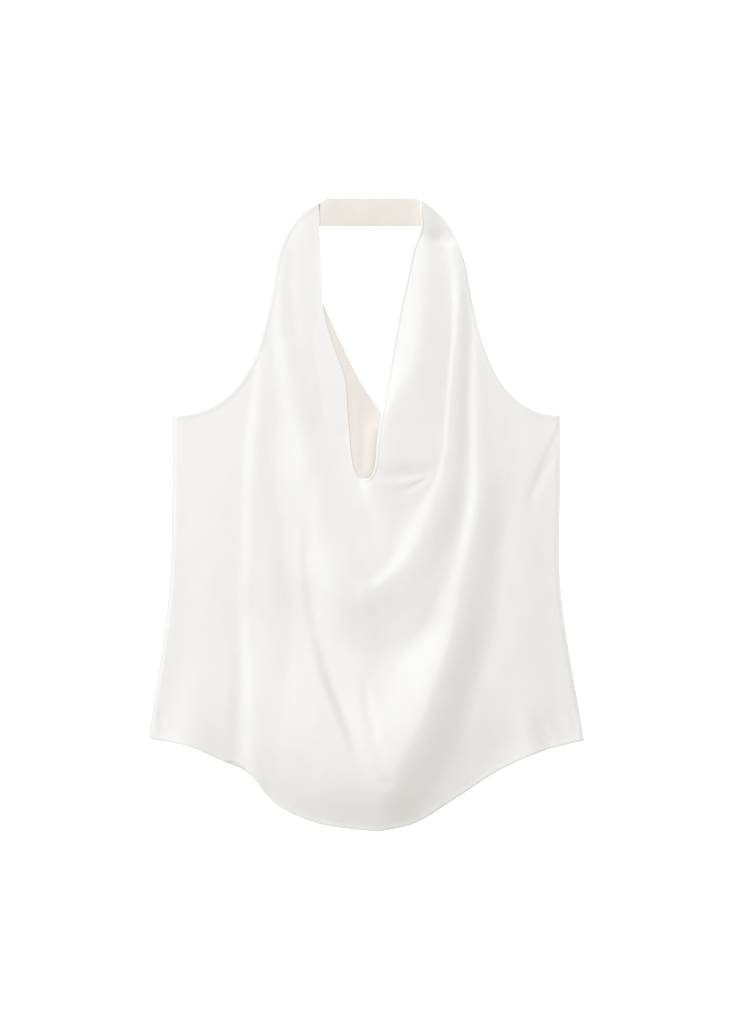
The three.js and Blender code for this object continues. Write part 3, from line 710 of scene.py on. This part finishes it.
def frontEdges(at, row, column, neck):
    # lift along the edges, from each place's distance to them
    e, lines = edgeFinish, frontLines
    last, rim = 2 * front["columns"] + 1, front["edgeColumns"] + e["rimColumns"]
    underarm = front["underarmShare"] * front["rows"]
    atHem = row > front["rows"] - front["fineRows"] - e["rimRows"]
    atNeck = (abs(column - front["columns"] - 0.5) < rim) & (row < neck + front["fineRows"])
    atTips = row < e["tipRows"]
    leftRim, rightRim = (column < rim) | atTips, (column > last - rim) | atTips
    lift = np.zeros(len(at))
    for hand, rimPlaces in (("left", leftRim), ("right", rightRim)):
        atArmhole = rimPlaces & (row < underarm + e["rimRows"])
        atSide = rimPlaces & (row > underarm - e["sideRows"])
        lift += hemProfile(distanceTo(lines[hand + "Armhole"], at, atArmhole))
        seamDistance = distanceTo(lines[hand + "Side"], at, atSide)
        lift -= e["seamDrop"] * (1 - ease(seamDistance / e["seamRound"]))
    for hem in ("leftHem", "rightHem"):
        onSide = column <= front["columns"] if hem == "leftHem" else column > front["columns"]
        lift += hemProfile(distanceTo(lines[hem], at, atHem & onSide))
    atNeck |= atTips
    necklines = [np.vstack((lines[hand + "Armhole"][0], lines[hand + "Neckline"]))
                 for hand in ("left", "right")]
    neckDistance = np.minimum(*(distanceTo(line, at, atNeck) for line in necklines))
    rolled = ease((at[:, 0] - e["rollStart"]) / e["rollGrowth"])
    return lift + rollProfile(neckDistance) * rolled


def buildFront(satin, reverseAndShade):
    edges = ("Armhole", "Side", "Neckline", "Hem")
    left, right = ([frontLines[hand + edge] for edge in edges] for hand in ("left", "right"))
    bm, column, row, at, neck = layPanel(front, left, right)
    lift, moveX, moveY = (readNet(part, *at.T) for part in foldNets)
    height = front["floor"] + lift + frontEdges(at, row, column, neck)
    placeVerts(bm, at + np.stack((moveX, moveY), axis=-1), np.maximum(height, front["lowest"]))
    mapCloth(bm)
    piece = newPiece(front["name"], bm, satin, reverseAndShade)
    addWall(piece, front["wall"] * mm, 1)
    return piece


# What a user would change about the stitches along the hems
stitches = {
    "name": "hem_stitches",
    "pitch": 3.0,
    "length": 2.1,
    "width": 0.34,
    "height": 0.26,
    "bury": 0.06,            # how deep a stitch sinks into the cloth
}


def stitchRun(bm, line, side):
    # one row of stitches inside an edge, each a small rounded thread lying along it
    s = stitches
    inner = insetLine(line, edgeFinish["stitchInset"], side)
    run = slide(inner)
    distances = np.arange(s["pitch"], run[-1] - s["pitch"], s["pitch"])
    at = np.stack([np.interp(distances, run, inner[:, i]) for i in (0, 1)], axis=-1)
    ahead = np.stack([np.interp(distances + 1, run, inner[:, i]) for i in (0, 1)], axis=-1)
    lift, moveX, moveY = (readNet(part, *at.T) for part in foldNets)
    further = readNet(foldNets[0], *ahead.T)
    surface = front["floor"] + front["wall"] + hemProfile(edgeFinish["stitchInset"], 0) - s["bury"]
    for (x, y), (xAhead, yAhead), z, zAhead in zip(at, ahead, lift, further):
        way = Vector((xAhead - x, yAhead - y, zAhead - z)).normalized()
        turn = way.to_track_quat("X", "Z").to_matrix().to_4x4()
        shape = Matrix.Diagonal((s["length"] / 2 * mm, s["width"] / 2 * mm, s["height"] / 2 * mm, 1))
        place = Matrix.Translation((x * mm + patternShift.x, y * mm + patternShift.y, (surface + z) * mm))
        bmesh.ops.create_uvsphere(bm, u_segments=6, v_segments=4, radius=1, matrix=place @ turn @ shape)


def buildStitches(thread):
    bm = bmesh.new()
    hem = np.concatenate((frontLines["leftHem"], frontLines["rightHem"][-2::-1]))
    stitchRun(bm, frontLines["leftArmhole"], 1)
    stitchRun(bm, frontLines["rightArmhole"], -1)
    stitchRun(bm, hem, 1)
    return newPiece(stitches["name"], bm, thread)


# What a user would change about the back, which lies flat under the front
back = {
    "name": "back_panel",
    "wall": 0.45,
    "floor": 0.15,
    "inset": 1.6,            # how far it stays inside the front
    "bandGap": 0.3,
    "rows": 110,
    "columns": 80,
    "neckShare": 0.40,
    "underarmShare": 0.42,
    "fineRows": 5,
    "fineShare": 0.01,
    "edgeZone": 6.0,
    "edgeColumns": 5,
    "edgeCrowding": 1.5,
    "rim": 3,                # columns and rows looked at beyond the fine ones
    "hemLift": 0.25,
    "hemWidth": 6.0,
    "hemStep": 1.6,
    "follow": 28,            # near these edges of the front it stays close under it
    "followTop": 100,        # from here down on the right of the neckline
    "followHem": -90,        # and from here to the left on the hem
    "clear": 0.2,
    "highest": 5.2,
    # the two sides of its V at the neck, and the left part of its hem
    "leftV": [
        (-75, 356.7), (-70, 318), (-58, 274), (-45, 243), (-26, 202), (-6, 163), (20, 125), (38, 104),
    ],
    "rightV": [(84, 356.7), (74, 270), (62, 190), (52, 130), (38, 104)],
    "leftHem": [
        (-268.8, -276.8), (-219, -286.5), (-198, -295), (-175, -307.5), (-155, -316), (-144, -323.5),
        (-135, -333.5), (-127.5, -344), (-119, -352.5), (-103, -362.5), (-80, -372), (-20, -387),
        (15, -390.5),
    ],
}


def insetLine(line, inset, side):
    along = np.gradient(line, axis=0)
    along /= np.linalg.norm(along, axis=1)[:, None]
    return line + side * inset * np.stack((-along[:, 1], along[:, 0]), axis=-1)


def backEdges(at, row, column, neck, left, right):
    # a low turned hem along the neck edge and the hem
    middle = abs(column - back["columns"] - 0.5) < back["edgeColumns"] + back["rim"]
    atNeck = middle & (row <= neck + back["rim"])
    atHem = row > back["rows"] - back["fineRows"] - back["rim"]
    onLeft = column <= back["columns"]
    edges = (
        (left[2], atNeck), (right[2], atNeck),
        (left[3], atHem & onLeft), (right[3], atHem & ~onLeft),
    )
    lift = np.zeros(len(at))
    for line, chosen in edges:
        d = distanceTo(line, at, chosen)
        lift = np.maximum(lift, back["hemLift"] * ease((back["hemWidth"] - d) / back["hemStep"]))
    return lift


def followFront(at, lift):
    # rise of the back where it stays close under the left hem and the neckline, which it does all round
    # the foot of the neckline
    everywhere = np.ones(len(at), bool)
    hem, neckline = frontLines["leftHem"], frontLines["rightNeckline"]
    lowNeckline = neckline[neckline[:, 1] < back["followTop"]]
    near = (frontLines["leftNeckline"], lowNeckline, hem[hem[:, 0] < back["followHem"]])
    away = np.min([distanceTo(line, at, everywhere) for line in near], axis=0)
    underFront = front["floor"] + readNet(foldNets[0], *at.T)
    room = underFront - back["floor"] - back["wall"] - lift - back["clear"]
    return np.clip(room, 0, back["highest"]) * ease(1 - away / back["follow"])


def buildBack(reverseAndShade, satin):
    inset, top = back["inset"], front["bandBottom"] - back["bandGap"]
    leftArm, leftSeam = (insetLine(frontLines[name], inset, 1) for name in ("leftArmhole", "leftSide"))
    rightArm, rightSeam, rightEdge = (insetLine(frontLines[name], inset, -1)
                                      for name in ("rightArmhole", "rightSide", "rightHem"))
    leftV, rightV, leftEdge = (curveThrough(back[name]) for name in ("leftV", "rightV", "leftHem"))
    # the lines meet again at the corners
    rightEdge[-1] = leftEdge[-1]
    rightSeam[-1] = rightEdge[0] = (rightSeam[-1] + rightEdge[0]) / 2
    leftSeam[-1] = leftEdge[0]
    leftArm[-1] = leftSeam[0] = (leftArm[-1] + leftSeam[0]) / 2
    rightArm[-1] = rightSeam[0] = (rightArm[-1] + rightSeam[0]) / 2
    left = (leftArm[leftArm[:, 1] < top], leftSeam, leftV, leftEdge)
    right = (rightArm[rightArm[:, 1] < top], rightSeam, rightV, rightEdge)
    bm, column, row, at, neck = layPanel(back, left, right)
    lift = backEdges(at, row, column, neck, left, right)
    placeVerts(bm, at, back["floor"] + lift + followFront(at, lift))
    mapCloth(bm)
    piece = newPiece(back["name"], bm, reverseAndShade, satin)
    addWall(piece, back["wall"] * mm, 1)
    return piece


# What a user would change about the band behind the neck, a double strip seamed to both straps
band = {
    "name": "neck_band_piece",
    "wall": 0.6,
    "floor": 0.1,
    "lowest": 0.05,
    "columns": 64,
    "rows": 16,
    "leftGap": -0.4,         # its left end passes this much under the strap
    "rightGap": 0.2,
    "rightOverlap": 8,       # slant of its right end
    "tilt": 1.2,             # rise from its lower to its upper edge
    "puff": 0.5,
    "wave": 0.5,
    "wavesAcross": 6,
    "wavesUp": 1.2,
    "waveLayer": 4.2,        # where the noise of the waves is read
    "endReach": 0.09,        # share of its length in which the ends drop or rise
    "leftDrop": 0.45,
    "dropBelow": 0.4,        # share of that drop at its lower edge
    "rightRise": 2.6,
    "top": 392.4,
    "cornerReach": 0.1,      # share of its length in which the top corners are cut
    "leftCorner": 7.0,
    "rightCorner": 2.0,
    "edgeRadius": 0.25,
}


def buildBand(reverseAndShade):
    b = band
    bm = bmesh.new()
    bmesh.ops.create_grid(bm, x_segments=b["columns"], y_segments=b["rows"], size=0.5)
    bottom = front["bandBottom"]
    for v in bm.verts:
        up, across = v.co.y + 0.5, v.co.x + 0.5
        left = front["leftStrap"] + b["leftGap"]
        right = front["rightStrap"] + b["rightGap"] + b["rightOverlap"] * (1 - up)
        atLeft, atRight = (math.exp(-(end / b["endReach"]) ** 2) for end in (across, 1 - across))
        cornerLeft, cornerRight = (max(1 - end / b["cornerReach"], 0) ** 2 for end in (across, 1 - across))
        top = b["top"] - b["leftCorner"] * cornerLeft - b["rightCorner"] * cornerRight
        inNoise = Vector((across * b["wavesAcross"], up * b["wavesUp"], b["waveLayer"]))
        wave = b["wave"] * noise.noise(inNoise)
        z = b["floor"] + b["tilt"] * up + b["puff"] * math.sin(math.pi * up) + wave
        z += b["rightRise"] * atRight - b["leftDrop"] * atLeft * (b["dropBelow"] + up)
        v.co = Vector((
            (left + (right - left) * across) * mm + patternShift.x,
            (bottom + (top - bottom) * up) * mm + patternShift.y,
            max(z, b["lowest"]) * mm,
        ))
    mapCloth(bm)
    # the band takes the reverse colour, whose darker, warmer tone is in part painted shade
    piece = newPiece(b["name"], bm, reverseAndShade)
    addWall(piece, b["wall"] * mm)
    bevel = piece.modifiers.new("softEdges", "BEVEL")
    bevel.width = b["edgeRadius"] * mm
    bevel.segments = 2
    bevel.limit_method = "ANGLE"
    return piece


# The cloth's two faces. Depths are in metres of relief.
satinFinish = {
    "name": "satin",
    "light": (0.748, 0.763, 0.768),
    "deep": (0.713, 0.726, 0.730),
    "roughness": 0.56,
    "roughnessSpread": 0.08,
    "streakDepth": 0.000010,
    "rippleDepth": 0.00022,
    "sheen": 0.03,
}
# The reverse face is matt, and its colour is darker and warmer than the satin's: partly the duller reverse
# of the cloth, partly painted shade of the inside of the neckline and of the band
reverseFinishAndShade = {
    "name": "satin_reverse",
    "light": (0.713, 0.692, 0.664),
    "deep": (0.675, 0.652, 0.620),
    "roughness": 0.85,
    "roughnessSpread": 0.06,
    "streakDepth": 0.000014,
    "rippleDepth": 0.00008,
    "sheen": 0.12,
}

# How often each part of the weave comes in a metre of cloth, across it and along it, and its detail
weaveNoise = {
    "warp": ((2600, 190), 2),
    "weft": ((420, 2900), 1),
    "slub": ((700, 14), 1),
    "mottle": ((42, 26), 3),
    "ripple": ((52, 21), 2),
}
threadMix = {"warp": 0.7, "weft": 0.3}
shadeMix = {"mottle": 0.5, "slub": 0.2, "thread": 0.3, "middle": 0.25, "contrast": 2.0}


def addNode(tree, kind, **values):
    node = tree.nodes.new(kind)
    for key, value in values.items():
        setattr(node, key, value)
    return node


def stretchedNoise(tree, source, scale, detail):
    # noise over the cloth, stretched by its scale along and across
    mapping = addNode(tree, "ShaderNodeMapping")
    mapping.inputs["Scale"].default_value = (*scale, 1)
    texture = addNode(tree, "ShaderNodeTexNoise")
    texture.inputs["Scale"].default_value = 1
    texture.inputs["Detail"].default_value = detail
    tree.links.new(source, mapping.inputs["Vector"])
    tree.links.new(mapping.outputs["Vector"], texture.inputs["Vector"])
    return texture.outputs["Fac"]


def combine(tree, operation, first, second):
    node = addNode(tree, "ShaderNodeMath", operation=operation)
    for socket, value in zip(node.inputs, (first, second)):
        if isinstance(value, (int, float)):
            socket.default_value = value
        else:
            tree.links.new(value, socket)
    return node.outputs["Value"]


def makeWeaveGroup():
    # satin weave: long warp floats, crossing weft, slubs, and the soft ripples of light cloth
    group = bpy.data.node_groups.new("clothWeave", "ShaderNodeTree")
    group.interface.new_socket("Vector", in_out="INPUT", socket_type="NodeSocketVector")
    for name in ("Light", "Deep"):
        group.interface.new_socket(name, in_out="INPUT", socket_type="NodeSocketColor")
    for name in ("Roughness", "Roughness Spread", "Streak Depth", "Ripple Depth"):
        group.interface.new_socket(name, in_out="INPUT", socket_type="NodeSocketFloat")
    group.interface.new_socket("Color", in_out="OUTPUT", socket_type="NodeSocketColor")
    group.interface.new_socket("Roughness", in_out="OUTPUT", socket_type="NodeSocketFloat")
    group.interface.new_socket("Normal", in_out="OUTPUT", socket_type="NodeSocketVector")
    source = addNode(group, "NodeGroupInput").outputs
    result = addNode(group, "NodeGroupOutput").inputs
    parts = {name: stretchedNoise(group, source["Vector"], *way) for name, way in weaveNoise.items()}
    warp, weft = (combine(group, "MULTIPLY", parts[name], threadMix[name]) for name in ("warp", "weft"))
    parts["thread"] = thread = combine(group, "ADD", warp, weft)
    mottle, slub, threads = (combine(group, "MULTIPLY", parts[name], shadeMix[name])
                             for name in ("mottle", "slub", "thread"))
    shade = combine(group, "ADD", combine(group, "ADD", mottle, slub), threads)
    shade = combine(group, "SUBTRACT", shade, shadeMix["middle"])
    shade = combine(group, "MULTIPLY", shade, shadeMix["contrast"])
    colour = addNode(group, "ShaderNodeMix", data_type="RGBA", clamp_factor=True)
    group.links.new(shade, colour.inputs["Factor"])
    group.links.new(source["Light"], colour.inputs["A"])
    group.links.new(source["Deep"], colour.inputs["B"])
    group.links.new(colour.outputs["Result"], result["Color"])
    aroundMiddle = combine(group, "SUBTRACT", thread, 0.5)
    spread = combine(group, "MULTIPLY", aroundMiddle, source["Roughness Spread"])
    group.links.new(combine(group, "ADD", spread, source["Roughness"]), result["Roughness"])
    relief = combine(group, "ADD", combine(group, "MULTIPLY", thread, source["Streak Depth"]),
                     combine(group, "MULTIPLY", parts["ripple"], source["Ripple Depth"]))
    bump = addNode(group, "ShaderNodeBump")
    bump.inputs["Distance"].default_value = 1.0
    group.links.new(relief, bump.inputs["Height"])
    group.links.new(bump.outputs["Normal"], result["Normal"])
    return group


def clothMaterial(finish, weave):
    material = bpy.data.materials.new(finish["name"])
    material.use_nodes = True
    tree = material.node_tree
    shader = tree.nodes["Principled BSDF"]
    uv = addNode(tree, "ShaderNodeUVMap", uv_map="cloth")
    node = addNode(tree, "ShaderNodeGroup", node_tree=weave)
    node.inputs["Light"].default_value = (*finish["light"], 1)
    node.inputs["Deep"].default_value = (*finish["deep"], 1)
    node.inputs["Roughness"].default_value = finish["roughness"]
    node.inputs["Roughness Spread"].default_value = finish["roughnessSpread"]
    node.inputs["Streak Depth"].default_value = finish["streakDepth"]
    node.inputs["Ripple Depth"].default_value = finish["rippleDepth"]
    tree.links.new(uv.outputs["UV"], node.inputs["Vector"])
    tree.links.new(node.outputs["Color"], shader.inputs["Base Color"])
    tree.links.new(node.outputs["Roughness"], shader.inputs["Roughness"])
    tree.links.new(node.outputs["Normal"], shader.inputs["Normal"])
    shader.inputs["Sheen Weight"].default_value = finish["sheen"]
    return material


# Thread of the stitches, with a fine twist
threadFinish = {
    "name": "hem_thread",
    "light": (0.70, 0.705, 0.70),
    "deep": (0.60, 0.60, 0.59),
    "roughness": 0.6,
    "twist": (5200, 5200),
}


def threadMaterial():
    material = bpy.data.materials.new(threadFinish["name"])
    material.use_nodes = True
    tree = material.node_tree
    shader = tree.nodes["Principled BSDF"]
    source = addNode(tree, "ShaderNodeTexCoord").outputs["Object"]
    twist = stretchedNoise(tree, source, threadFinish["twist"], 1)
    colour = addNode(tree, "ShaderNodeMix", data_type="RGBA")
    colour.inputs["A"].default_value = (*threadFinish["light"], 1)
    colour.inputs["B"].default_value = (*threadFinish["deep"], 1)
    tree.links.new(twist, colour.inputs["Factor"])
    tree.links.new(colour.outputs["Result"], shader.inputs["Base Color"])
    shader.inputs["Roughness"].default_value = threadFinish["roughness"]
    return material


# Light, floor and camera
studio = {
    "floorSize": 8.0,
    "floorColour": (0.97, 0.97, 0.97),
    "floorRoughness": 0.9,
    "floorGlow": 0.95,
    "worldColour": (1.0, 0.91, 0.77),
    "worldStrength": 0.455,
    "lights": {
        "key": {"place": (-4.0, 2.05, 5.7), "power": 396.0, "size": 6.0, "colour": (1.0, 1.013, 1.06)},
        "top": {"place": (-0.3, 3.36, 3.38), "power": 88.0, "size": 4.0, "colour": (1.0, 1.013, 1.06)},
    },
    "sensorWidth": 36,
    "cameraHeight": 3.2,
    "cameraOver": (0.0006, 0.0035),
    "viewHeight": 1.27,
}


def buildStudio():
    world = bpy.data.worlds.new("studio")
    bpy.context.scene.world = world
    world.use_nodes = True
    background = world.node_tree.nodes["Background"].inputs
    background["Color"].default_value = (*studio["worldColour"], 1)
    background["Strength"].default_value = studio["worldStrength"]
    paper = bpy.data.materials.new("paper_floor")
    paper.use_nodes = True
    shader = paper.node_tree.nodes["Principled BSDF"]
    shader.inputs["Base Color"].default_value = (*studio["floorColour"], 1)
    shader.inputs["Roughness"].default_value = studio["floorRoughness"]
    shader.inputs["Emission Color"].default_value = (1, 1, 1, 1)
    shader.inputs["Emission Strength"].default_value = studio["floorGlow"]
    bm = bmesh.new()
    bmesh.ops.create_grid(bm, x_segments=2, y_segments=2, size=studio["floorSize"] / 2)
    newPiece("floor", bm, paper)
    for name, light in studio["lights"].items():
        data = bpy.data.lights.new(name, "AREA")
        data.energy = light["power"]
        data.size = light["size"]
        data.color = light["colour"]
        lamp = bpy.data.objects.new(name, data)
        lamp.location = light["place"]
        lamp.rotation_euler = (-Vector(light["place"])).to_track_quat("-Z", "Y").to_euler()
        bpy.context.scene.collection.objects.link(lamp)
    cameraData = bpy.data.cameras.new("camera")
    cameraData.sensor_width = studio["sensorWidth"]
    cameraData.lens = studio["sensorWidth"] * studio["cameraHeight"] / studio["viewHeight"]
    camera = bpy.data.objects.new("camera", cameraData)
    camera.location = (*studio["cameraOver"], studio["cameraHeight"])
    bpy.context.scene.collection.objects.link(camera)
    bpy.context.scene.camera = camera
    bpy.context.scene.view_settings.view_transform = "Standard"


weave = makeWeaveGroup()
satin = clothMaterial(satinFinish, weave)
# the reverse colour holds painted shade as well as the reverse face's own tone
reverseAndShade = clothMaterial(reverseFinishAndShade, weave)
thread = threadMaterial()
print("cloth and thread made")
frontPiece = buildFront(satin, reverseAndShade)
print("front built:", len(frontPiece.data.polygons), "faces")
stitchPiece = buildStitches(thread)
print("hems stitched:", len(stitchPiece.data.polygons), "faces")
backPiece = buildBack(reverseAndShade, satin)
print("back built:", len(backPiece.data.polygons), "faces")
bandPiece = buildBand(reverseAndShade)
print("band built")
buildStudio()
print("studio set")

pieceRows = (
    (frontPiece, "front", "satin"),
    (stitchPiece, "front", "satin"),
    (backPiece, "back", "satin_reverse"),
    (bandPiece, "neck_band", "satin_reverse"),
)
for piece, node, slot in pieceRows:
    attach(piece, "root")
    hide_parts(node)
